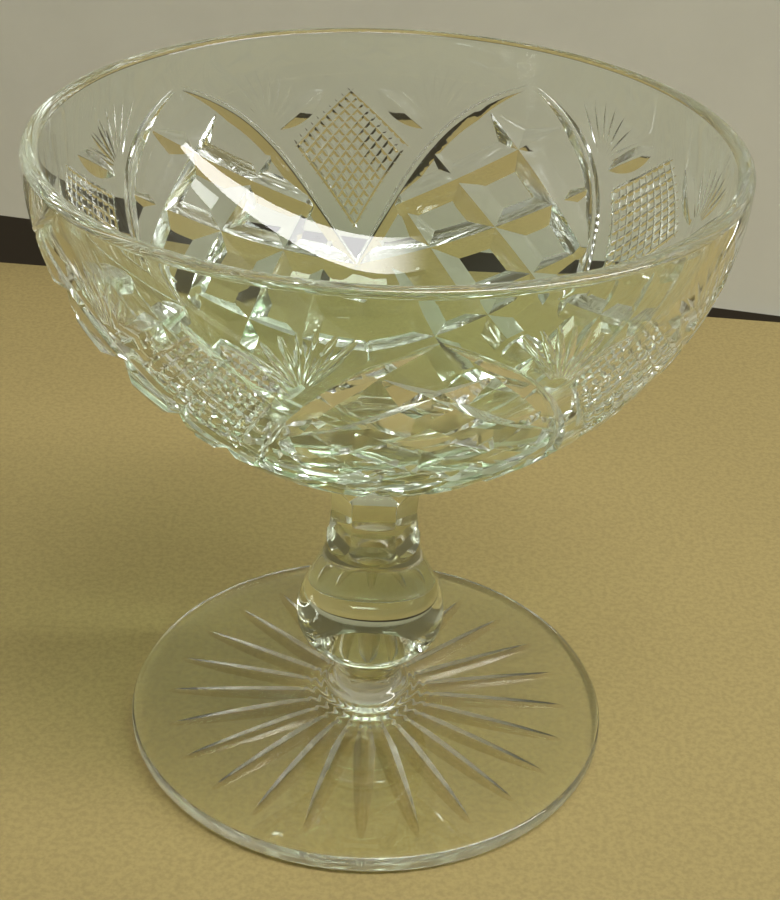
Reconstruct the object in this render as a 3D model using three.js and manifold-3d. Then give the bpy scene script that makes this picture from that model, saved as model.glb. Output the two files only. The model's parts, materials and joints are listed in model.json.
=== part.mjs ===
// A cut-glass sherbet glass: a footed coupe with a six-sided neck and a ball knop.
// Millimetres, +Z up. The origin is the centre of the foot's resting plane.
// Each mesh is one gather of glass. They are fused hot, so they meet face to face on flat planes.

import * as THREE from 'three';
import { mergeVertices } from 'three/addons/utils/BufferGeometryUtils.js';
import Module from 'manifold-3d';

const wasm = await Module();
wasm.setup();

// Overall sizes
const overallHeight = 101;
const rimRadius = 50;
const footRadius = 39;

// Levels of the flat planes where one gather sits on the next, and of the widest part of the knop
const collarBase = 4.4;
const collarWaistLevel = 8.6;
const knopBase = 13.8;
const knopMiddle = 20.2;
const neckBase = 33.4;
const neckWaistLevel = 39.5;
const neckCrease = 44;
const bowlBase = 49.2;

// Walls and radii
const rimWall = 2.4;
const bowlFloor = 6;
const bowlDish = 1;
const bowlBaseRadius = 9.1;
const neckRadius = 7.4;
const knopRadius = 11.9;
const collarTopRadius = 6;
const collarWaist = 5.2;
const collarBaseRadius = 12.4;
const footEdge = 3;
const footEdgeRound = 1.2;

// The flats cut round the neck: how far from the axis they are at the waist, the level at
// which they run out over the knop, and how far they turn out there
const neckSides = 6;
const neckWaist = 5.8;
const flatFoot = 32.2;
const flatSpread = 3.8;

// How the collar spreads onto the foot: how far in and up its flat skirt reaches, and how far
// below the waist it turns up
const skirtReach = 4.6;
const skirtRise = 0.45;
const skirtTurn = 2.6;

// Cutting on the bowl. A turn is an angle round the axis. A drop is an angle below the rim,
// seen from the centre of the rim. Both are in degrees.
const repeats = 5;
const firstPanelTurn = 98;
const archTopDrop = 7.5;
const archFootDrop = 47;
const archDepth = 1.1;
const latticeDepth = 1.7;
const leafDepth = 0.7;
const leafStart = [6.2, 13.4];
const leafEnd = [15.4, 19.4];
const fanDepth = 0.2;
const fanRays = 7;
const fanRoot = [17, 18];
const fanSpread = [8.4, 25.4];
const hatchDepth = 0.6;
const hatchLines = 4;
const broadMitre = 62;
const archMitre = 56;

// The small diamond panel between two arches
const panelTopDrop = 11;
const panelSideDrop = 21.5;
const panelFootDrop = 40;
const panelHalfTurn = 12.8;

// The star under the foot
const starRays = 24;
const starRadius = 31.5;
const starDepth = 0.3;
const starMitre = 78;

// Fineness of the faceted solids, and how far a cutter stands out of the glass
const roundSteps = 40;
const stemSteps = 30;
const curveSteps = 6;
const lift = 0.6;

const degrees = Math.PI / 180;
const panelSpacing = 360 / repeats;
const glassColour = 0xe9f3ea;

// Turns a closed geometry into a solid that can be cut.
function solid(geometry) {
  const bare = geometry.clone();
  bare.deleteAttribute('normal');
  bare.deleteAttribute('uv');
  const merged = mergeVertices(bare, 1e-4);
  const corners = merged.index.array;
  const kept = [];
  for (let i = 0; i < corners.length; i += 3) {
    const [a, b, c] = corners.subarray(i, i + 3);
    if (a !== b && b !== c && c !== a) kept.push(a, b, c);
  }
  const mesh = new wasm.Mesh({
    numProp: 3,
    vertProperties: new Float32Array(merged.attributes.position.array),
    triVerts: new Uint32Array(kept),
  });
  mesh.merge();
  return new wasm.Manifold(mesh);
}

// Turns a cut solid back into a geometry.
function geometryOf(body) {
  const mesh = body.getMesh();
  const geometry = new THREE.BufferGeometry();
  geometry.setAttribute('position', new THREE.BufferAttribute(mesh.vertProperties, 3));
  geometry.setIndex(new THREE.BufferAttribute(mesh.triVerts, 1));
  geometry.computeVertexNormals();
  return geometry;
}

// Spins a profile of [radius, height] points round the Z axis. It starts and ends on the axis.
function spun(profile, steps) {
  const points = profile.map(([radius, height]) => new THREE.Vector2(radius, height));
  const geometry = new THREE.LatheGeometry(points, steps);
  geometry.rotateX(Math.PI / 2);
  return solid(geometry);
}

function curvePoints(curve, steps) {
  return curve.getPoints(steps).map((point) => [point.x, point.y]);
}

// The bowl's outer profile, from the rim down to its base on the neck
const bowlDrop = overallHeight - bowlBase;
const outerCurve = new THREE.CubicBezierCurve(
  new THREE.Vector2(rimRadius, overallHeight),
  new THREE.Vector2(rimRadius * 1.02, overallHeight - bowlDrop * 0.536),
  new THREE.Vector2(rimRadius * 0.465, bowlBase + bowlDrop * 0.094),
  new THREE.Vector2(bowlBaseRadius, bowlBase),
);

// The bowl's inside, from the rim down: the outside moved in by a wall that thickens steadily
function insidePoints(steps) {
  const points = [];
  for (let i = 0; i <= steps; i += 1) {
    const share = i / steps;
    const outer = outerCurve.getPoint(share);
    const along = outerCurve.getTangent(share);
    const wall = rimWall + share * (bowlFloor - rimWall);
    points.push([outer.x + along.y * wall, outer.y - along.x * wall]);
  }
  const [, lowest] = points[steps];
  points.push([0, lowest - bowlDish]);
  return points;
}

// Points of the outer profile with the drop of each, to look a drop up
const outerSamples = outerCurve.getPoints(200).map((point) => ({
  radius: point.x,
  height: point.y,
  drop: Math.atan2(overallHeight - point.y, point.x) / degrees,
}));

// The bowl's outer surface at a turn and a drop: the point and its outward direction
function onBowl(turn, drop) {
  let i = 1;
  while (i < outerSamples.length - 1 && outerSamples[i].drop < drop) i += 1;
  const above = outerSamples[i - 1];
  const below = outerSamples[i];
  const share = (drop - above.drop) / (below.drop - above.drop);
  const radius = above.radius + share * (below.radius - above.radius);
  const height = above.height + share * (below.height - above.height);
  const slope = Math.atan2(above.radius - below.radius, above.height - below.height);
  const cos = Math.cos(turn * degrees);
  const sin = Math.sin(turn * degrees);
  return {
    point: new THREE.Vector3(radius * cos, radius * sin, height),
    outward: new THREE.Vector3(
      Math.cos(slope) * cos, Math.cos(slope) * sin, -Math.sin(slope)),
  };
}

// A three-sided bar laid along places on a surface, with one edge sunk into it.
// Taking it away leaves a V-shaped mitre cut.
function mitre(places, depths, halfAngle) {
  const steps = places.length - 1;
  const bar = new THREE.CylinderGeometry(1, 1, steps, 3, steps);
  const corners = bar.attributes.position;
  const flare = Math.tan(halfAngle * degrees) / Math.sin(Math.PI / 3);
  for (let v = 0; v < corners.count; v += 1) {
    const i = Math.round(corners.getY(v) + steps / 2);
    const { point, outward } = places[i];
    const ahead = places[Math.min(i + 1, steps)].point;
    const behind = places[Math.max(i - 1, 0)].point;
    const side = outward.clone().cross(ahead.clone().sub(behind)).normalize();
    const height = depths[i] + lift;
    const rise = height * (1 - corners.getZ(v)) / 1.5 - depths[i];
    const corner = point.clone()
      .addScaledVector(outward, rise)
      .addScaledVector(side, height * flare * corners.getX(v));
    corners.setXYZ(v, corner.x, corner.y, corner.z);
  }
  return solid(bar);
}

// A mitre cut between two shares of a path over the bowl, with its depth along the way
function bowlCut(path, steps, depthAt, halfAngle) {
  const places = [];
  const depths = [];
  for (let i = 0; i <= steps; i += 1) {
    const share = i / steps;
    const { turn, drop } = path(share);
    places.push(onBowl(turn, drop));
    depths.push(depthAt(share));
  }
  return mitre(places, depths, halfAngle);
}

// The depth of a cut that comes to a point at both ends
function leafShape(depth) {
  return (share) => depth * (1 - (2 * share - 1) ** 2) - 0.02;
}

// How far an arch's side stands from its middle at each drop, as a smooth curve
const archSide = new THREE.CubicBezierCurve(
  new THREE.Vector2(0, archTopDrop),
  new THREE.Vector2(21.8, 16.5),
  new THREE.Vector2(22.5, 30.2),
  new THREE.Vector2(panelSpacing / 2, archFootDrop),
);

// One side of an arch: a curved mitre from a point at the top to its foot
function archCut(middle, hand) {
  const path = (share) => {
    const { x, y } = archSide.getPointAt(share);
    return { turn: middle + hand * x, drop: y };
  };
  const depthAt = (share) => archDepth * Math.min(1, 0.05 + share * 4);
  return bowlCut(path, curveSteps, depthAt, archMitre);
}

// The straight lattice lines in an arch lie in planes through the centre of the rim.
// Each crosses the arch's middle at one drop, starts at one side and ends at the other.
const latticeLines = [
  { drop: 20, lean: 0.82, from: -7.5, to: 28 },
  { drop: 36, lean: 0.82, from: -19, to: 36 },
  { drop: 52, lean: 1.185, from: -26, to: 38 },
  { drop: 66, lean: 2.15, from: -30.5, to: 38 },
];

function latticeCut(middle, hand, line) {
  const path = (share) => {
    const turn = line.from + share * (line.to - line.from);
    const rise = Math.tan(line.drop * degrees) * Math.cos(turn * degrees)
      + line.lean * Math.sin(turn * degrees);
    return { turn: middle + hand * turn, drop: Math.atan(rise) / degrees };
  };
  const depthAt = (share) => {
    const opening = Math.min(1, 0.1 + share * 4);
    const closing = Math.min(1, (1 - share) * 12 + 0.3);
    return latticeDepth * opening * closing;
  };
  return bowlCut(path, curveSteps, depthAt, broadMitre);
}

// The place a share of the way from one [turn, drop] place to another
function between(start, end, share) {
  return [start[0] + share * (end[0] - start[0]), start[1] + share * (end[1] - start[1])];
}

// A short cut straight between two places on the bowl, given as turn and drop from the panel
function straightCut(panel, hand, start, end, depth, halfAngle, steps) {
  const path = (share) => {
    const [turn, drop] = between(start, end, share);
    return { turn: panel + hand * turn, drop };
  };
  return bowlCut(path, steps, leafShape(depth), halfAngle);
}

// The leaf above one upper edge of a panel
function leafCut(panel, hand) {
  return straightCut(panel, hand, leafStart, leafEnd, leafDepth, broadMitre, 4);
}

// The fan of fine rays beside a panel. The middle rays reach highest.
function fanCuts(panel, hand) {
  const rays = [];
  for (let i = 0; i < fanRays; i += 1) {
    const share = i / (fanRays - 1);
    const tip = [
      fanSpread[0] + share * (fanSpread[1] - fanSpread[0]),
      11.5 - 4.5 * Math.sin(share * Math.PI) - 2.5 * share,
    ];
    const start = between(fanRoot, tip, 0.12);
    rays.push(straightCut(panel, hand, start, tip, fanDepth, broadMitre, 2));
  }
  return rays;
}

// The fine crossing cuts that fill a panel with small pyramids
function hatchCuts(panel) {
  const corner = {
    top: [0, panelTopDrop],
    right: [panelHalfTurn, panelSideDrop],
    left: [-panelHalfTurn, panelSideDrop],
    foot: [0, panelFootDrop],
  };
  const cuts = [];
  for (let i = 0; i < hatchLines; i += 1) {
    const share = i / (hatchLines - 1);
    for (const [first, second] of [['right', 'left'], ['left', 'right']]) {
      const start = between(corner.top, corner[first], share);
      const end = between(corner[second], corner.foot, share);
      const path = (along) => {
        const [turn, drop] = between(start, end, along);
        return { turn: panel + turn, drop };
      };
      cuts.push(bowlCut(path, 2, () => hatchDepth, archMitre));
    }
  }
  return cuts;
}

function makeBowl() {
  const lip = rimWall / 2;
  const round = new THREE.EllipseCurve(
    rimRadius - lip, overallHeight - lip, lip, lip, 0, Math.PI);
  const outside = curvePoints(outerCurve, curveSteps + 4).reverse();
  const belowLip = ([, height]) => height < overallHeight - lip - 0.5;
  const profile = [
    [0, bowlBase],
    ...outside.filter(belowLip),
    ...curvePoints(round, 4),
    ...insidePoints(curveSteps + 2).filter(belowLip),
  ];
  const cuts = [];
  for (let i = 0; i < repeats; i += 1) {
    const panel = firstPanelTurn + i * panelSpacing;
    const middle = panel + panelSpacing / 2;
    for (const hand of [-1, 1]) {
      cuts.push(archCut(middle, hand));
      for (const line of latticeLines) cuts.push(latticeCut(middle, hand, line));
      cuts.push(leafCut(panel, hand));
      cuts.push(...fanCuts(panel, hand));
    }
    cuts.push(...hatchCuts(panel));
  }
  return wasm.Manifold.difference([spun(profile, roundSteps), ...cuts]);
}

// One flat of the neck seen from the side, as distances from the axis and heights. It is
// hollowed a little, turns out sharply over the knop and opens out under the bowl.
const flatOutline = [
  [neckWaist + flatSpread, flatFoot],
  [neckWaist + flatSpread * 0.55, flatFoot + flatSpread * 0.29],
  [neckWaist + flatSpread * 0.24, flatFoot + flatSpread * 0.66],
  [neckWaist + flatSpread * 0.06, flatFoot + flatSpread * 1.1],
  [neckWaist, neckWaistLevel],
  [neckWaist + 0.25, neckCrease],
  [bowlBaseRadius, bowlBase],
];

// The cutter for one flat: everything outside that outline
function flatCutter(turn) {
  const clear = 2 * knopRadius;
  const outline = [...flatOutline, [clear, bowlBase], [clear, flatFoot]];
  const shape = new THREE.Shape(outline.map(([x, y]) => new THREE.Vector2(x, y)));
  const slab = new THREE.ExtrudeGeometry(shape, { depth: 2 * clear, bevelEnabled: false });
  slab.translate(0, 0, -clear);
  slab.rotateX(Math.PI / 2);
  slab.rotateZ(turn * degrees);
  return solid(slab);
}

const flatCutters = [];
for (let i = 0; i < neckSides; i += 1) {
  flatCutters.push(flatCutter(i * 360 / neckSides - 90));
}

function makeNeck() {
  const swell = new THREE.CubicBezierCurve(
    new THREE.Vector2(neckRadius, neckBase),
    new THREE.Vector2(neckRadius, neckWaistLevel),
    new THREE.Vector2(neckRadius - 0.8, neckCrease + 1),
    new THREE.Vector2(bowlBaseRadius, bowlBase),
  );
  const profile = [[0, neckBase], ...curvePoints(swell, 5), [0, bowlBase]];
  return wasm.Manifold.difference([spun(profile, stemSteps), ...flatCutters]);
}

function makeKnop() {
  const under = new THREE.CubicBezierCurve(
    new THREE.Vector2(collarTopRadius, knopBase),
    new THREE.Vector2(knopRadius * 0.8, knopBase + 0.9),
    new THREE.Vector2(knopRadius, knopMiddle - 3.4),
    new THREE.Vector2(knopRadius, knopMiddle),
  );
  const over = new THREE.CubicBezierCurve(
    new THREE.Vector2(knopRadius, knopMiddle),
    new THREE.Vector2(knopRadius, knopMiddle + 5.3),
    new THREE.Vector2(neckRadius + 0.8, neckBase - 4.4),
    new THREE.Vector2(neckRadius, neckBase),
  );
  const profile = [
    [0, knopBase],
    ...curvePoints(under, 5),
    ...curvePoints(over, 7).slice(1),
    [0, neckBase],
  ];
  return wasm.Manifold.difference([spun(profile, stemSteps), ...flatCutters]);
}

function makeCollar() {
  const flare = new THREE.CubicBezierCurve(
    new THREE.Vector2(collarBaseRadius, collarBase),
    new THREE.Vector2(collarBaseRadius - skirtReach, collarBase + skirtRise),
    new THREE.Vector2(collarWaist, collarWaistLevel - skirtTurn),
    new THREE.Vector2(collarWaist, collarWaistLevel),
  );
  const swell = new THREE.CubicBezierCurve(
    new THREE.Vector2(collarWaist, collarWaistLevel),
    new THREE.Vector2(collarWaist, collarWaistLevel + 1.8),
    new THREE.Vector2(collarTopRadius, knopBase - 4),
    new THREE.Vector2(collarTopRadius, knopBase),
  );
  const profile = [
    [0, collarBase],
    ...curvePoints(flare, 5),
    ...curvePoints(swell, 4).slice(1),
    [0, knopBase],
  ];
  return spun(profile, stemSteps);
}

// One ray of the star: a straight mitre that is deepest at the centre and ends in a point
function starRay(turn) {
  const down = new THREE.Vector3(0, 0, -1);
  const places = [0, starRadius].map((radius) => ({
    point: new THREE.Vector3(
      radius * Math.cos(turn * degrees), radius * Math.sin(turn * degrees), 0),
    outward: down,
  }));
  return mitre(places, [starDepth, 0], starMitre);
}

function makeFoot() {
  const edgeTop = new THREE.EllipseCurve(
    footRadius - footEdgeRound, footEdge - footEdgeRound, footEdgeRound, footEdgeRound,
    0, Math.PI / 2);
  const edgeBase = new THREE.EllipseCurve(
    footRadius - footEdgeRound, footEdgeRound, footEdgeRound, footEdgeRound,
    -Math.PI / 2, 0);
  const top = new THREE.QuadraticBezierCurve(
    new THREE.Vector2(footRadius - footEdgeRound, footEdge),
    new THREE.Vector2(footRadius * 0.5, footEdge + 0.5),
    new THREE.Vector2(collarBaseRadius, collarBase),
  );
  const profile = [
    [0, 0],
    ...curvePoints(edgeBase, 3),
    ...curvePoints(edgeTop, 3),
    ...curvePoints(top, 5).slice(1),
    [0, collarBase],
  ];
  const rays = [];
  for (let i = 0; i < starRays; i += 1) rays.push(starRay(i * 360 / starRays));
  return wasm.Manifold.difference([spun(profile, roundSteps), ...rays]);
}

const glass = new THREE.Group();

function addPiece(name, body) {
  const material = new THREE.MeshStandardMaterial({
    color: glassColour,
    roughness: 0.03,
    metalness: 0,
    transparent: true,
    opacity: 0.35,
  });
  const mesh = new THREE.Mesh(geometryOf(body), material);
  mesh.name = name;
  glass.add(mesh);
}

addPiece('bowl', makeBowl());
addPiece('stem_neck', makeNeck());
addPiece('knop', makeKnop());
addPiece('stem_collar', makeCollar());
addPiece('foot', makeFoot());

export default glass;
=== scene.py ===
import json
import math

import bmesh
import bpy
import numpy as np
from mathutils import Matrix, Vector

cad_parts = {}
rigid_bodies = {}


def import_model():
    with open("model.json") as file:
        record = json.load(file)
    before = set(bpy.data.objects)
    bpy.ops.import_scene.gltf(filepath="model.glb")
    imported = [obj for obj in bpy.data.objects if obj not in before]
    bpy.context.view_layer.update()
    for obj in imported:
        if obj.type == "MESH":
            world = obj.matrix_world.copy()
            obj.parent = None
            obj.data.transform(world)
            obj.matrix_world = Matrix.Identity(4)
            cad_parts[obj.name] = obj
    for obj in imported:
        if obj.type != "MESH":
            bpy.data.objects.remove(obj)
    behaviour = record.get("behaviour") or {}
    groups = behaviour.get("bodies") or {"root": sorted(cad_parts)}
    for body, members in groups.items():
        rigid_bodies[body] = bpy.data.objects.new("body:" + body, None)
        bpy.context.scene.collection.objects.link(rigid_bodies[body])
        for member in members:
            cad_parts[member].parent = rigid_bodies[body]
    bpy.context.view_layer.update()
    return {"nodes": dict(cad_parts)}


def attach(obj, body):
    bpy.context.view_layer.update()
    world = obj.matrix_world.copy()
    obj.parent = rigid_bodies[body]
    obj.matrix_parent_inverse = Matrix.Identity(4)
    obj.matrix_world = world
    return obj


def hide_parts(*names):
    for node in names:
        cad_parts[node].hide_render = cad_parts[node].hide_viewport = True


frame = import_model()
millimetre = 0.001
print("stage 1: frame loaded with", len(frame["nodes"]), "nodes")


# The turned outline, in millimetres as (distance from the axis, height). A patch is one
# smooth run of it: its points, and the way the glass faces at each.

def unit(rows):
    return rows / np.linalg.norm(rows, axis=1)[:, None]


def curveAt(ends, shares):
    a, b, c, d = (np.array(end, float) for end in ends)
    t = np.asarray(shares, float)[:, None]
    points = (1 - t) ** 3 * a + 3 * (1 - t) ** 2 * t * b + 3 * (1 - t) * t ** 2 * c + t ** 3 * d
    slopes = (1 - t) ** 2 * (b - a) + 2 * (1 - t) * t * (c - b) + t ** 2 * (d - c)
    return points, unit(slopes)


def facing(slopes):
    return np.column_stack([slopes[:, 1], -slopes[:, 0]])


def curvePatch(ends, count):
    points, slopes = curveAt(ends, np.linspace(0, 1, count + 1))
    return points, facing(slopes)


def arcPatch(centre, radius, start, end, count):
    angles = np.radians(np.linspace(start, end, count + 1))
    outward = np.column_stack([np.cos(angles), np.sin(angles)])
    return np.array(centre) + radius * outward, outward


def linePatch(start, end, count):
    points = np.linspace(start, end, count + 1)
    return points, facing(unit(np.tile(np.subtract(end, start), (count + 1, 1))))


def pulled(start, end, pulls):
    first, second = pulls
    return [start, tuple(np.add(start, first)), tuple(np.add(end, second)), end]


# The pulls bend a curve: they are steps from its first and from its last point.

bowl = {
    "rim": (50.0, 101.0),   # every pair is (distance from the axis, height)
    "base": (9.1, 49.2),
    "sidePulls": [(1.0, -27.77), (14.15, 4.87)],
    "rimWall": 2.4,
    "floorWall": 6.0,       # wall where the bowl sits on its neck
    "lipBlend": 0.4,        # the walls stop this far under the rounded lip
    "wallEnd": 0.9,         # share of the side's curve at which the inner floor begins
    "floorPulls": (0.36, 0.3),
    "floorFall": 0.5,
    "rows": 64,
    "lipRows": 14,
    "floorRows": 10,
}
bowlCurve = pulled(bowl["rim"], bowl["base"], bowl["sidePulls"])


def bowlPatches(s):
    rimRadius, height = s["rim"]
    lip = s["rimWall"] / 2
    lipLevel = height - lip
    points, slopes = curveAt(bowlCurve[::-1], np.linspace(0, 1, s["rows"] + 1))
    below = points[:, 1] < lipLevel - s["lipBlend"]
    outside = np.vstack([points[below], [rimRadius, lipLevel]])
    outsideFacing = np.vstack([facing(slopes[below]), [1, 0]])
    shares = np.linspace(0, s["wallEnd"], s["rows"])
    points, slopes = curveAt(bowlCurve, shares)
    wall = s["rimWall"] + shares * (s["floorWall"] - s["rimWall"])
    inner = points + facing(slopes) * wall[:, None]
    inner = np.vstack([[rimRadius - s["rimWall"], lipLevel], inner[inner[:, 1] < lipLevel - s["lipBlend"]]])
    innerSlopes = unit(np.gradient(inner, axis=0))
    last, down = inner[-1], innerSlopes[-1]
    outer, middle = s["floorPulls"]
    floorLevel = last[1] + last[0] * down[1] / abs(down[0]) * s["floorFall"]
    floorEnds = [last, last + down * last[0] * outer, (last[0] * middle, floorLevel), (0, floorLevel)]
    return [
        (outside, outsideFacing),
        arcPatch((rimRadius - lip, lipLevel), lip, 0, 180, s["lipRows"]),
        (inner, facing(innerSlopes)),
        curvePatch(floorEnds, s["floorRows"]),
    ]


stem = {
    "levels": [
        (12.4, 4.4), (5.2, 8.6),     # the collar's spread onto the foot, and its waist
        (6.0, 13.8), (11.9, 20.2),   # the knop's base and its widest part
        (7.4, 33.4), (9.1, 49.2),    # the neck's base and top
    ],
    "pulls": [                       # one row for each curve between them
        [(-3.8, 0.45), (0, -2.6)],
        [(0, 1.8), (0, -4)],
        [(3.52, 0.9), (0, -3.4)],
        [(0, 5.3), (0.8, -4.4)],
        [(0, 6.1), (-2.5, -4.2)],
    ],
    "rows": [60, 12, 20, 26, 24],
    "ringHeight": 0.11,              # tool rings where the foot was spun on
    "ringPitch": 1.5,
}


def ringedPatch(ends, count, height, pitch):
    points, _ = curveAt(ends, np.linspace(0, 1, count + 1))
    run = ends[0][0] - points[:, 0]
    fade = np.sin(np.linspace(0, math.pi, count + 1))
    points[:, 1] += height * fade * np.sin(2 * math.pi * run / pitch)
    return points, facing(unit(np.gradient(points, axis=0)))


def stemPatches(s):
    levels, rows = s["levels"], s["rows"]
    curves = [pulled(*ends) for ends in zip(levels, levels[1:], s["pulls"])]
    flare = ringedPatch(curves[0], rows[0], s["ringHeight"], s["ringPitch"])
    return [flare] + [curvePatch(curve, count) for curve, count in zip(curves[1:], rows[1:])]


foot = {
    "radius": 39.0,
    "edge": 3.0,
    "edgeRound": 1.2,
    "crown": (19.5, 3.5),            # point towards which the top swells
    "edgeRows": 8,
    "topRows": 20,
}


def footPatches(s):
    inset = s["radius"] - s["edgeRound"]
    start, end = (inset, s["edge"]), stem["levels"][0]
    pulls = [np.subtract(s["crown"], point) * 2 / 3 for point in (start, end)]
    return [
        linePatch((0, 0), (inset, 0), 1),
        arcPatch((inset, s["edgeRound"]), s["edgeRound"], -90, 0, s["edgeRows"]),
        arcPatch((inset, s["edge"] - s["edgeRound"]), s["edgeRound"], 0, 90, s["edgeRows"]),
        curvePatch(pulled(start, end, pulls), s["topRows"]),
    ]


patches = footPatches(foot) + stemPatches(stem) + bowlPatches(bowl)


def meshObject(name, vertices, faces, collection):
    mesh = bpy.data.meshes.new(name)
    mesh.from_pydata([tuple(v) for v in vertices], [], faces)
    thing = bpy.data.objects.new(name, mesh)
    collection.objects.link(thing)
    return thing


def turnedBody(name, turns, collection):
    outline = [patches[0][0][0]]
    for points, _ in patches:
        outline += [p for p in points if np.linalg.norm(p - outline[-1]) > 1e-4]
    angles = (np.arange(turns) + 0.5) * 2 * math.pi / turns
    circle = np.column_stack([np.cos(angles), np.sin(angles)])
    vertices, rings = [], []
    for radius, height in outline:
        rings.append(len(vertices))
        if radius < 1e-6:
            vertices.append((0, 0, height))
        else:
            vertices += [(radius * x, radius * y, height) for x, y in circle]
    faces = []
    for k in range(len(rings) - 1):
        low, high = rings[k], rings[k + 1]
        for i in range(turns):
            j = (i + 1) % turns
            if k == 0:
                faces.append((low, high + j, high + i))
            elif k == len(rings) - 2:
                faces.append((low + i, low + j, high))
            else:
                faces.append((low + i, low + j, high + j, high + i))
    return meshObject(name, vertices, faces, collection)


# Wheel cuts. A turn is an angle round the axis and a drop an angle below the rim, seen from
# the middle of the rim, both in degrees.

cutting = {
    "repeats": 5,
    "firstPanel": 98.0,          # turn of the first diamond panel
    "archDepth": 1.15,
    "latticeDepth": 1.7,
    "leafDepth": 0.9,
    "fanDepth": 0.19,
    "archWheel": (58.5, 1.2),    # each wheel's edge: its half angle, and the round of its tip
    "archBack": (20.0, 0.2),     # the arch wheel is lopsided: its steep side stands to the outside
    "latticeWheel": (62.0, 0.0),
    "leafWheel": (65.0, 0.6),
    "fanWheel": (66.0, 1.2),
    "hatchWheel": (58.0, 0.0),
    "tipStep": 7.0,              # largest bend between two faces of a round tip, in degrees
    "lift": 0.6,                 # how far a cutter stands out of the glass
    "arch": [(0, 7.6), (21.79, 16.51), (22.49, 30.16), (36, 47)],    # (turn from its middle, drop)
    "archOpening": 0.22,         # share of its run over which it reaches full depth
    "archClosing": (0.6, 0.25),  # share at which it grows shallower again, and by how much
    "lattice": [                 # drop where it crosses the arch's middle, lean, first and last turn
        (20, 0.82, -7.5, 26.6), (36, 0.82, -19, 36), (52, 1.185, -26, 38), (66, 2.15, -30.5, 38),
    ],
    "latticeOpening": (0.1, 5),  # depth at its start, and how fast it grows
    "latticeClosing": (0.3, 12),
    "leaf": [(5.2, 11.6), (15.0, 18.8)],
    "fanRoot": (17.0, 18.0),
    "fanTips": [(8.6, 11.5), (25.2, 7.0)],
    "fanArch": 2.75,             # how far the middle ray reaches past the line between the tips
    "fanRays": 7,
    "panel": [(0, 11.0), (12.8, 21.5), (0, 40.0), (-12.8, 21.5)],
    "hatchLines": 10,
    "hatchShare": 0.26,          # 0.5 would leave no flat top between the lines
    "hatchEnds": (0.1, 24),      # depth at both ends of a line, and how fast it grows from there
    "overlap": 0.02,             # keeps a cut's tips clear of the glass
    "stations": {"arch": 33, "lattice": 29, "leaf": 15, "fan": 11, "hatch": 13},
}

wallPoints, wallSlopes = curveAt(bowlCurve, np.linspace(0, 1, 3000))
wallDrops = np.degrees(np.arctan2(bowl["rim"][1] - wallPoints[:, 1], wallPoints[:, 0]))
wallFacing = -facing(wallSlopes)


def onBowl(turns, drops):
    radius = np.interp(drops, wallDrops, wallPoints[:, 0])
    height = np.interp(drops, wallDrops, wallPoints[:, 1])
    out = np.interp(drops, wallDrops, wallFacing[:, 0])
    up = np.interp(drops, wallDrops, wallFacing[:, 1])
    x, y = np.cos(np.radians(turns)), np.sin(np.radians(turns))
    points = np.column_stack([radius * x, radius * y, height])
    return points, unit(np.column_stack([out * x, out * y, up]))


def wheelSide(wheel, top):
    halfAngle, tipRound = wheel
    tilt = math.radians(90 - halfAngle)
    steps = math.ceil(math.degrees(tilt) / cutting["tipStep"]) if tipRound > 0 else 0
    angles = np.linspace(0, tilt, steps + 1)
    level = np.zeros(len(top))
    rows = [(level + tipRound * math.sin(a), level + tipRound * (1 - math.cos(a))) for a in angles]
    reach, rise = rows[-1]
    return rows + [(reach + (top - rise) * math.tan(math.radians(halfAngle)), top)]


def wheelCut(name, points, outward, depths, wheel, collection, back=None, hand=1):
    side = unit(np.cross(outward, np.gradient(points, axis=0))) * hand
    top = depths + cutting["lift"]
    near, far = wheelSide(wheel, top), wheelSide(back or wheel, top)
    loop = far + [(-reach, rise) for reach, rise in near[:0:-1]]
    n, last = len(loop), len(points) - 1
    rows = [points + side * reach[:, None] + outward * (rise - depths)[:, None] for reach, rise in loop]
    faces = [tuple(range(n - 1, -1, -1)), tuple(range(last * n, last * n + n))]
    for k in range(0, last * n, n):
        faces += [(k + i, k + (i + 1) % n, k + n + (i + 1) % n, k + n + i) for i in range(n)]
    if hand < 0:
        faces = [face[::-1] for face in faces]
    return meshObject(name, np.stack(rows, axis=1).reshape(-1, 3), faces, collection)


def stationsOf(kind):
    return np.linspace(0, 1, cutting["stations"][kind])


def leafDepths(shares, depth):
    clear = cutting["overlap"]
    return (depth + clear) * (1 - (2 * shares - 1) ** 2) - clear


def between(start, end, shares):
    shares = np.asarray(shares, float)
    return [start[k] + shares * (end[k] - start[k]) for k in (0, 1)]


def cutArch(s, middle, hand, collection):
    shares = stationsOf("arch")
    places, _ = curveAt(s["arch"], shares)
    points, outward = onBowl(middle + hand * places[:, 0], places[:, 1])
    start, amount = s["archClosing"]
    opening = np.clip(shares / s["archOpening"], 0, 1)
    closing = 1 - amount * np.clip((shares - start) / (1 - start), 0, 1) ** 1.5
    depths = s["archDepth"] * opening * closing - s["overlap"]
    wheelCut("archCut", points, outward, depths, s["archWheel"], collection, s["archBack"], hand)


def cutLattice(s, middle, hand, collection):
    shares = stationsOf("lattice")
    (first, opens), (final, closes) = s["latticeOpening"], s["latticeClosing"]
    opening = np.clip(first + shares * opens, 0, 1)
    closing = np.clip((1 - shares) * closes + final, 0, 1)
    for drop, lean, start, end in s["lattice"]:
        turns = start + shares * (end - start)
        rise = math.tan(math.radians(drop)) * np.cos(np.radians(turns)) + lean * np.sin(np.radians(turns))
        points, outward = onBowl(middle + hand * turns, np.degrees(np.arctan(rise)))
        depths = s["latticeDepth"] * opening * closing
        wheelCut("latticeCut", points, outward, depths, s["latticeWheel"], collection)


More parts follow.
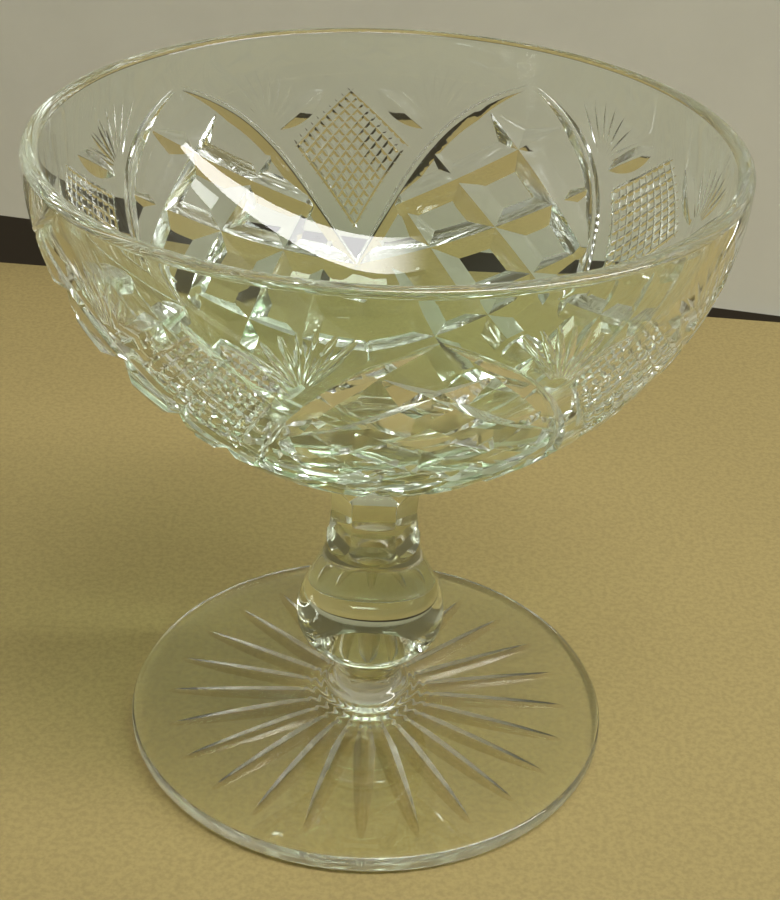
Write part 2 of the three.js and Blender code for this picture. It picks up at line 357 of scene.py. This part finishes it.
def cutLeaf(s, panel, hand, collection):
    shares = stationsOf("leaf")
    turns, drops = between(*s["leaf"], shares)
    points, outward = onBowl(panel + hand * turns, drops)
    wheelCut("leafCut", points, outward, leafDepths(shares, s["leafDepth"]), s["leafWheel"], collection)


def cutFan(s, panel, hand, collection):
    shares = stationsOf("fan")
    for across in np.linspace(0, 1, s["fanRays"]):
        turn, drop = between(*s["fanTips"], across)
        tip = (turn, drop - s["fanArch"] * math.sin(across * math.pi))
        root = between(s["fanRoot"], tip, 0.1)      # the rays stop short of one shared point
        turns, drops = between(root, tip, shares)
        points, outward = onBowl(panel + hand * turns, drops)
        wheelCut("fanCut", points, outward, leafDepths(shares, s["fanDepth"]), s["fanWheel"], collection)


def cutHatch(s, panel, collection):
    top, right, low, left = (np.array(corner, float) for corner in s["panel"])
    slope = math.tan(math.radians(s["hatchWheel"][0]))
    along = stationsOf("hatch")
    first, opens = s["hatchEnds"]
    opening = np.clip(first + np.minimum(along, 1 - along) * opens, 0, 1)
    halfStep = 0.5 / s["hatchLines"]
    for near, far in ((right, left), (left, right)):
        def line(share):
            start = top + share * (near - top)
            end = far + share * (low - far)
            turns, drops = between(start, end, along)
            return onBowl(panel + turns, drops)
        for k in range(s["hatchLines"]):
            share = (2 * k + 1) * halfStep
            points, outward = line(share)
            ahead, behind = line(share + halfStep)[0], line(share - halfStep)[0]
            pitch = np.linalg.norm(np.cross(ahead - behind, unit(np.gradient(points, axis=0))), axis=1)
            depths = s["hatchShare"] * pitch / slope * opening
            wheelCut("hatchCut", points, outward, depths, s["hatchWheel"], collection)


def cutBowl(s, collection):
    for k in range(s["repeats"]):
        panel = s["firstPanel"] + k * 360 / s["repeats"]
        middle = panel + 180 / s["repeats"]
        for hand in (-1, 1):
            cutArch(s, middle, hand, collection)
            cutLattice(s, middle, hand, collection)
            cutLeaf(s, panel, hand, collection)
            cutFan(s, panel, hand, collection)
        cutHatch(s, panel, collection)


neckFlats = {
    "count": 6,
    "firstTurn": -90.0,
    "reach": 24.0,
    "side": [(9.6, 32.2), (7.9, 33.3), (6.7, 34.7), (6.05, 36.4), (5.8, 39.5), (6.05, 44.0), (9.1, 49.2)],
}


def cutNeck(s, collection):
    reach = s["reach"]
    outline = s["side"] + [(reach, s["side"][-1][1]), (reach, s["side"][0][1])]
    n = len(outline)
    for k in range(s["count"]):
        turn = math.radians(s["firstTurn"] + k * 360 / s["count"])
        x, y = math.cos(turn), math.sin(turn)
        vertices = []
        for across in (-reach, reach):
            vertices += [(r * x - across * y, r * y + across * x, z) for r, z in outline]
        faces = [tuple(range(n - 1, -1, -1)), tuple(range(n, 2 * n))]
        faces += [(i, (i + 1) % n, n + (i + 1) % n, n + i) for i in range(n)]
        meshObject("flatCut", vertices, faces, collection)


star = {
    "rays": 24,
    "radius": 33.3,
    "depth": 0.62,
    "wheel": (66.0, 1.8),
    "stations": 13,
}


def cutStar(s, collection):
    radii = np.linspace(0, s["radius"], s["stations"])
    outward = np.tile([0.0, 0.0, -1.0], (len(radii), 1))
    depths = s["depth"] * (1 - (radii / s["radius"]) ** 4)
    for k in range(s["rays"]):
        turn = math.radians(k * 360 / s["rays"])
        points = np.column_stack([radii * math.cos(turn), radii * math.sin(turn), radii * 0])
        wheelCut("starCut", points, outward, depths, s["wheel"], collection)


meshing = {
    "turns": 300,            # faces round the turned body
    "sharpEdge": 13.0,       # in degrees: a softer bend is shaded smooth
    "sameFacing": 6.0,       # in degrees, between a face and the turned surface that it belongs to
    "sameSpot": 0.03,        # and the furthest that it may lie from it, in millimetres
    "atOnce": 20000,         # faces looked at together
}


def cutBody():
    work = bpy.data.collections.new("cutters")
    body = turnedBody("glassBody", meshing["turns"], bpy.context.scene.collection)
    cutBowl(cutting, work)
    cutNeck(neckFlats, work)
    cutStar(star, work)
    step = body.modifiers.new("cuts", "BOOLEAN")
    step.operation = "DIFFERENCE"
    step.operand_type = "COLLECTION"
    step.collection = work
    step.solver = "MANIFOLD"
    ready = body.evaluated_get(bpy.context.evaluated_depsgraph_get())
    mesh = bpy.data.meshes.new_from_object(ready)
    for cutter in list(work.objects):
        bpy.data.meshes.remove(cutter.data)
    bpy.data.collections.remove(work)
    bpy.data.meshes.remove(body.data)
    return mesh


topLevels = [stem["levels"][k][1] for k in (0, 2, 4, 5)] + [bowl["rim"][1] + 1]
pieceLevels = list(zip(("foot", "stem_collar", "knop", "stem_neck", "bowl"), topLevels))


def splitLevels(mesh):
    work = bmesh.new()
    work.from_mesh(mesh)
    for _, level in pieceLevels[:-1]:
        everything = work.verts[:] + work.edges[:] + work.faces[:]
        bmesh.ops.bisect_plane(work, geom=everything, dist=1e-4, plane_co=(0, 0, level), plane_no=(0, 0, 1))
    for _ in range(2):
        bmesh.ops.dissolve_degenerate(work, dist=2e-4, edges=work.edges[:])
        bmesh.ops.triangulate(work, faces=work.faces[:])
    work.to_mesh(mesh)
    work.free()
    mesh.polygons.foreach_set("use_smooth", np.ones(len(mesh.polygons), bool))
    mesh.set_sharp_from_angle(angle=math.radians(meshing["sharpEdge"]))
    mesh.update()
    print("stage 3:", len(mesh.polygons), "triangles after cutting")


def meshArrays(mesh):
    vertices = np.empty(len(mesh.vertices) * 3)
    mesh.vertices.foreach_get("co", vertices)
    corners = np.empty(len(mesh.loops), int)
    mesh.loops.foreach_get("vertex_index", corners)
    normals = np.empty(len(mesh.loops) * 3)
    mesh.corner_normals.foreach_get("vector", normals)
    flat = np.empty(len(mesh.polygons) * 3)
    mesh.polygons.foreach_get("normal", flat)
    return vertices.reshape(-1, 3), corners.reshape(-1, 3), normals.reshape(-1, 3, 3), flat.reshape(-1, 3)


def nearestOnPatch(points, outward, spots):
    a, b = points[:-1], points[1:]
    run = b - a
    share = np.clip(((spots[:, None] - a) * run).sum(2) / (run ** 2).sum(1), 0, 1)
    gap = np.linalg.norm(spots[:, None] - (a + share[:, :, None] * run), axis=2)
    best = gap.argmin(1)
    rows = np.arange(len(spots))
    t = share[rows, best][:, None]
    return gap[rows, best], unit((1 - t) * outward[best] + t * outward[best + 1])


def roundTurned(flatOut, spots):
    radius = np.hypot(spots[:, 0], spots[:, 1])
    radius = np.where(radius < 1e-6, 1, radius)
    x, y = spots[:, 0] / radius, spots[:, 1] / radius
    return np.column_stack([flatOut[:, 0] * x, flatOut[:, 0] * y, flatOut[:, 1]])


def batches(rows):
    return np.array_split(rows, math.ceil(len(rows) / meshing["atOnce"])) if len(rows) else []


def smoothUncut(vertices, corners, normals, flat):
    centres = vertices[corners].mean(1)
    spots = np.column_stack([np.hypot(centres[:, 0], centres[:, 1]), centres[:, 2]])
    closest = np.full(len(spots), 1e9)
    owner = np.full(len(spots), -1)
    uncut = np.zeros(len(spots), bool)
    agreement = math.cos(math.radians(meshing["sameFacing"]))
    for index, (points, outward) in enumerate(patches):
        low, high = points.min(0) - 0.1, points.max(0) + 0.1
        near = np.where(((spots > low) & (spots < high)).all(1))[0]
        for some in batches(near):
            gap, out = nearestOnPatch(points, outward, spots[some])
            agrees = (roundTurned(out, centres[some]) * flat[some]).sum(1) > agreement
            better = (gap < closest[some]) & (gap < meshing["sameSpot"]) & agrees
            closest[some[better]] = gap[better]
            owner[some[better]] = index
    for index, (points, outward) in enumerate(patches):
        mine = np.where(owner == index)[0]
        for some in batches(mine):
            for corner in range(3):
                where = vertices[corners[some, corner]]
                flatSpots = np.column_stack([np.hypot(where[:, 0], where[:, 1]), where[:, 2]])
                _, out = nearestOnPatch(points, outward, flatSpots)
                normals[some, corner] = roundTurned(out, where)
        uncut[mine] = True
    print("stage 4:", int(uncut.sum()), "triangles keep the turned surface")
    return uncut


glassLook = {
    "tintThin": (0.97, 1.0, 0.97, 1),
    "tintThick": (0.74, 0.93, 0.74, 1),        # where the bowl is solid, over its neck
    # painted shade: the foot's glass is darkened and warmed to stand in for the bowl's shadow falling on it
    "footPaintedShade": (0.97, 0.94, 0.9, 1),
    # painted shade: the star's cut faces are darkened brown to stand in for the shade seen through them
    "starPaintedShade": (0.86, 0.78, 0.64, 1),
    "tintStem": (0.91, 0.935, 0.815, 1),
    "thickLevels": (0.046, 0.056, 0.081),      # heights at which it starts, is full and has gone
    "stemLevels": (0.006, 0.014, 0.046, 0.056),    # the foot's painted shade ends, the stem's tint starts, ends, has gone
    "cloudScale": 28.0,        # the tint is a little uneven
    "cloudShare": 0.16,
    "refraction": 1.53,
    "waviness": 0.000015,      # height of the hand-made ripples, in metres
    "wavinessScale": 55.0,
    "hazeScale": 130.0,
    "hazeRange": (0.35, 0.75),
    "firePolishedGlass": ("footPaintedShade", 0.0, 0.02, 0.0000007, 400.0),    # painted shade tint in the foot, least and
    "wheelCutGlass": ("footPaintedShade", 0.02, 0.08, 0.0000015, 900.0),       # most roughness, then the height
    "starCutGlass": ("starPaintedShade", 0.14, 0.24, 0.0000015, 900.0),        # and scale of the fine marks
}


def noiseOf(tree, place, scale, detail):
    noise = tree.nodes.new("ShaderNodeTexNoise")
    noise.inputs["Scale"].default_value = scale
    noise.inputs["Detail"].default_value = detail
    tree.links.new(place, noise.inputs["Vector"])
    return noise


def rangeOf(tree, value, low, high):
    part = tree.nodes.new("ShaderNodeMapRange")
    part.inputs["From Min"].default_value = low
    part.inputs["From Max"].default_value = high
    tree.links.new(value, part.inputs["Value"])
    return part


def bumpOf(tree, height, distance):
    bump = tree.nodes.new("ShaderNodeBump")
    bump.inputs["Distance"].default_value = distance
    tree.links.new(height, bump.inputs["Height"])
    return bump


def glassTint(tree, place, look, footShadeTint):
    split = tree.nodes.new("ShaderNodeSeparateXYZ")
    tree.links.new(place, split.inputs["Vector"])
    level = split.outputs["Z"]
    start, full, gone = look["thickLevels"]
    both, uneven = (tree.nodes.new("ShaderNodeMath") for _ in range(2))
    both.operation = "MULTIPLY"
    tree.links.new(rangeOf(tree, level, start, full).outputs["Result"], both.inputs[0])
    tree.links.new(rangeOf(tree, level, gone, full).outputs["Result"], both.inputs[1])
    uneven.operation = "MULTIPLY_ADD"
    uneven.inputs[1].default_value = look["cloudShare"]
    tree.links.new(noiseOf(tree, place, look["cloudScale"], 2.0).outputs["Fac"], uneven.inputs[0])
    tree.links.new(both.outputs["Value"], uneven.inputs[2])
    low, *levels = look["stemLevels"]
    rod = rangeOf(tree, level, low, levels[-1])
    tint, stemTintAndFootShade = (tree.nodes.new("ShaderNodeValToRGB") for _ in range(2))
    tint.color_ramp.elements[0].color = look["tintThin"]
    tint.color_ramp.elements[1].color = look["tintThick"]
    # the foot's end of the ramp is painted shade, the rest is the stem's own tint
    stemTintAndFootShade.color_ramp.elements[0].color = look[footShadeTint]
    for stopLevel in levels[:-1]:
        stop = stemTintAndFootShade.color_ramp.elements.new((stopLevel - low) / (levels[-1] - low))
        stop.color = look["tintStem"]
    tree.links.new(uneven.outputs["Value"], tint.inputs["Fac"])
    tree.links.new(rod.outputs["Result"], stemTintAndFootShade.inputs["Fac"])
    together = tree.nodes.new("ShaderNodeMix")
    together.data_type = "RGBA"
    together.blend_type = "MULTIPLY"
    together.inputs["Factor"].default_value = 1.0
    tree.links.new(tint.outputs["Color"], together.inputs[6])      # 6 and 7 are its colours A and B
    tree.links.new(stemTintAndFootShade.outputs["Color"], together.inputs[7])
    return together.outputs[2]


def glassMaterial(name, look):
    footShadeTint, roughLow, roughHigh, fineHeight, fineScale = look[name]
    material = bpy.data.materials.new(name)
    material.use_nodes = True
    tree = material.node_tree
    tree.nodes.clear()
    place = tree.nodes.new("ShaderNodeTexCoord").outputs["Object"]
    shader = tree.nodes.new("ShaderNodeBsdfPrincipled")
    shader.inputs["Transmission Weight"].default_value = 1.0
    shader.inputs["IOR"].default_value = look["refraction"]
    tree.links.new(glassTint(tree, place, look, footShadeTint), shader.inputs["Base Color"])
    haze = noiseOf(tree, place, look["hazeScale"], 4.0)
    rough = rangeOf(tree, haze.outputs["Fac"], *look["hazeRange"])
    rough.inputs["To Min"].default_value = roughLow
    rough.inputs["To Max"].default_value = roughHigh
    tree.links.new(rough.outputs["Result"], shader.inputs["Roughness"])
    ripple = noiseOf(tree, place, look["wavinessScale"], 1.0)
    marks = noiseOf(tree, place, fineScale, 2.0)
    broad = bumpOf(tree, ripple.outputs["Fac"], look["waviness"])
    fine = bumpOf(tree, marks.outputs["Fac"], fineHeight)
    tree.links.new(broad.outputs["Normal"], fine.inputs["Normal"])
    tree.links.new(fine.outputs["Normal"], shader.inputs["Normal"])
    output = tree.nodes.new("ShaderNodeOutputMaterial")
    tree.links.new(shader.outputs["BSDF"], output.inputs["Surface"])
    return material


def makePieces(vertices, corners, normals, uncut):
    blown, cut, starCut = (
        glassMaterial(name, glassLook) for name in ("firePolishedGlass", "wheelCutGlass", "starCutGlass"))
    levels = vertices[corners].mean(1)[:, 2]
    bottom = -1.0
    for name, top in pieceLevels:
        mine = np.where((levels > bottom) & (levels <= top))[0]
        used, local = np.unique(corners[mine], return_inverse=True)
        mesh = bpy.data.meshes.new(name + "Glass")
        faces = [tuple(int(i) for i in row) for row in local.reshape(-1, 3)]
        mesh.from_pydata([tuple(v) for v in vertices[used] * millimetre], [], faces)
        mesh.materials.append(blown)
        mesh.materials.append(starCut if name == "foot" else cut)
        mesh.polygons.foreach_set("material_index", np.where(uncut[mine], 0, 1).astype(np.int32))
        mesh.polygons.foreach_set("use_smooth", np.ones(len(faces), bool))
        mesh.normals_split_custom_set([tuple(n) for n in normals[mine].reshape(-1, 3)])
        piece = bpy.data.objects.new(name + "Glass", mesh)
        bpy.context.scene.collection.objects.link(piece)
        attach(piece, "root")
        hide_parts(name)
        print("  piece", piece.name, len(faces), "triangles")
        bottom = top
    print("stage 5: pieces made")


bodyMesh = cutBody()
splitLevels(bodyMesh)
vertices, corners, normals, flat = meshArrays(bodyMesh)
uncut = smoothUncut(vertices, corners, normals, flat)
bpy.data.meshes.remove(bodyMesh)
makePieces(vertices, corners, normals, uncut)


# Floor, backdrop and light

setting = {
    "floorBoard": ((0.42, 0.325, 0.125, 1), 0.0009, 0.18),      # colour, size of its grain and how far
    "backdropPaint": ((0.79, 0.81, 0.765, 1), 0.02, 0.03),      # the grain darkens it
    # painted shade: a near-black sheet behind the gap under the backdrop stands in for the shade there
    "gapShade": ((0.05, 0.036, 0.02, 1), 0.01, 0.02),
    "roughness": 0.7,
    "grainRange": (0.36, 0.6),
    "floorBack": [(-0.0982, 0.1701), (0.0985, 0.1540)],    # two points of the floor's back edge
    "backdropLow": (0.0121, 0.0007),                       # height of the backdrop's lower edge there
    "spread": 6,               # how many times that run they go on to each side
    "floorFront": (1.2, -1.3),
    "floorDrop": -0.0001,
    "backdropBehind": 0.002,
    "backdropTop": 0.8,
    "gapBehind": 0.03,
    "gapHeights": (-0.1, 0.2),
}


def matte(name, s):
    colour, grainSize, grain = s[name]
    material = bpy.data.materials.new(name)
    material.use_nodes = True
    tree = material.node_tree
    shader = tree.nodes["Principled BSDF"]
    output = tree.nodes["Material Output"]
    shader.inputs["Roughness"].default_value = s["roughness"]
    place = tree.nodes.new("ShaderNodeTexCoord").outputs["Object"]
    speckle = noiseOf(tree, place, 1 / grainSize, 3.0)
    speckle.inputs["Roughness"].default_value = 0.65
    ramp = tree.nodes.new("ShaderNodeValToRGB")
    dark, full = ramp.color_ramp.elements
    dark.position, full.position = s["grainRange"]
    dark.color = tuple(c * (1 - grain) for c in colour[:3]) + (1,)
    full.color = colour
    tree.links.new(speckle.outputs["Fac"], ramp.inputs["Fac"])
    tree.links.new(ramp.outputs["Color"], shader.inputs["Base Color"])
    behind = tree.nodes.new("ShaderNodeNewGeometry")      # a look from below or behind goes through
    clear = tree.nodes.new("ShaderNodeBsdfTransparent")
    mix = tree.nodes.new("ShaderNodeMixShader")
    tree.links.new(behind.outputs["Backfacing"], mix.inputs["Fac"])
    tree.links.new(shader.outputs["BSDF"], mix.inputs[1])
    tree.links.new(clear.outputs["BSDF"], mix.inputs[2])
    tree.links.new(mix.outputs["Shader"], output.inputs["Surface"])
    return material


def stagePlane(name, points, material):
    plane = meshObject(name, points, [tuple(range(len(points)))], bpy.context.scene.collection)
    plane.data.materials.append(material)


def upright(left, right, lows, top):
    return [(*left, lows[0]), (*right, lows[1]), (*right, top), (*left, top)]


def makeSetting(s):
    left, right = (np.array(p) for p in s["floorBack"])
    run = right - left
    ends = [left - run * s["spread"], right + run * s["spread"]]
    back = np.array([-run[1], run[0]]) / np.linalg.norm(run)
    (across, front), drop = s["floorFront"], s["floorDrop"]
    floor = [(*ends[0], drop), (-across, front, drop), (across, front, drop), (*ends[1], drop)]
    stagePlane("floor", floor, matte("floorBoard", s))
    lowLeft, lowRight = s["backdropLow"]
    fall = (lowLeft - lowRight) * s["spread"]
    near = [end + back * s["backdropBehind"] for end in ends]
    backdrop = upright(*near, (lowLeft + fall, lowRight - fall), s["backdropTop"])
    stagePlane("backdrop", backdrop, matte("backdropPaint", s))
    # painted shade: a dark sheet set behind the backdrop's lower edge stands in for the shade in the gap
    deep = [end + back * s["gapBehind"] for end in ends]
    gapLow, gapTop = s["gapHeights"]
    stagePlane("paintedGapShade", upright(*deep, (gapLow, gapLow), gapTop), matte("gapShade", s))


lamps = {
    "stripHeight": 1.2,
    "stripFrom": -0.32,
    "stripTo": 3.9,
    "stripFade": 0.1,          # share of its length over which it dies away at the near end
    "stripSide": -0.345,       # towards the camera
    "stripWidth": 0.22,
    "stripWatts": 42.0,
    "room": (0.36, 0.355, 0.30, 1),
    "shade": (0.11, 0.097, 0.055, 1),        # the dim part of the room, behind the camera
    "shadeTowards": (0.0, -0.94, 0.34),
    "shadeFrom": 0.2,          # cosines of the angles at which the shade starts and is full
    "shadeFull": 0.72,
}


def makeLight(s):
    light = bpy.data.lights.new("stripLamp", "AREA")
    light.shape = "RECTANGLE"
    light.size = s["stripTo"] - s["stripFrom"]
    light.size_y = s["stripWidth"]
    light.energy = s["stripWatts"]
    light.use_nodes = True
    tree = light.node_tree
    across = tree.nodes.new("ShaderNodeNewGeometry")
    split = tree.nodes.new("ShaderNodeSeparateXYZ")
    tree.links.new(across.outputs["Parametric"], split.inputs["Vector"])
    fade = rangeOf(tree, split.outputs["X"], 0, s["stripFade"])
    fade.interpolation_type = "SMOOTHSTEP"
    tree.links.new(fade.outputs["Result"], tree.nodes["Emission"].inputs["Strength"])
    lamp = bpy.data.objects.new("stripLamp", light)
    lamp.location = ((s["stripTo"] + s["stripFrom"]) / 2, s["stripSide"], s["stripHeight"])
    bpy.context.scene.collection.objects.link(lamp)
    world = bpy.data.worlds.new("room")
    world.use_nodes = True
    tree = world.node_tree
    background = tree.nodes["Background"]
    place = tree.nodes.new("ShaderNodeTexCoord")
    towards = tree.nodes.new("ShaderNodeVectorMath")
    towards.operation = "DOT_PRODUCT"
    towards.inputs[1].default_value = Vector(s["shadeTowards"]).normalized()
    tree.links.new(place.outputs["Generated"], towards.inputs[0])
    dim = rangeOf(tree, towards.outputs["Value"], s["shadeFrom"], s["shadeFull"])
    dim.interpolation_type = "SMOOTHSTEP"
    ramp = tree.nodes.new("ShaderNodeValToRGB")
    ramp.color_ramp.elements[0].color = s["room"]
    ramp.color_ramp.elements[1].color = s["shade"]
    tree.links.new(dim.outputs["Result"], ramp.inputs["Fac"])
    tree.links.new(ramp.outputs["Color"], background.inputs["Color"])
    bpy.context.scene.world = world


view = {
    "place": (0.0, -0.2193, 0.1814),
    "pan": 0.53,               # these three are in degrees
    "tilt": 30.85,
    "roll": 2.61,
    "focal": 1668.0,           # in pixels of the 780 wide frame
    "frameWidth": 780.0,
    "sensorWidth": 36.0,
    "clipStart": 0.005,
}


def makeCamera(s):
    pan, tilt, roll = (math.radians(s[k]) for k in ("pan", "tilt", "roll"))
    forward = Vector((math.sin(pan) * math.cos(tilt), math.cos(pan) * math.cos(tilt), -math.sin(tilt)))
    level = Vector((math.cos(pan), -math.sin(pan), 0))
    upright = level.cross(forward)
    across = level * math.cos(roll) + upright * math.sin(roll)
    upward = upright * math.cos(roll) - level * math.sin(roll)
    data = bpy.data.cameras.new("camera")
    data.sensor_fit = "HORIZONTAL"
    data.sensor_width = s["sensorWidth"]
    data.lens = s["focal"] / s["frameWidth"] * s["sensorWidth"]
    data.clip_start = s["clipStart"]
    camera = bpy.data.objects.new("camera", data)
    turn = Matrix((across, upward, -forward)).transposed().to_4x4()
    camera.matrix_world = Matrix.Translation(s["place"]) @ turn
    bpy.context.scene.collection.objects.link(camera)
    bpy.context.scene.camera = camera


makeSetting(setting)
makeLight(lamps)
makeCamera(view)
bpy.context.scene.view_settings.view_transform = "Standard"
paths = bpy.context.scene.cycles      # light meets many faces inside cut glass before it leaves
paths.max_bounces = 24
paths.glossy_bounces = 14
paths.transmission_bounces = 20
paths.blur_glossy = 0                 # its default darkens the floor under the foot
print("stage 6: setting, light and camera ready")
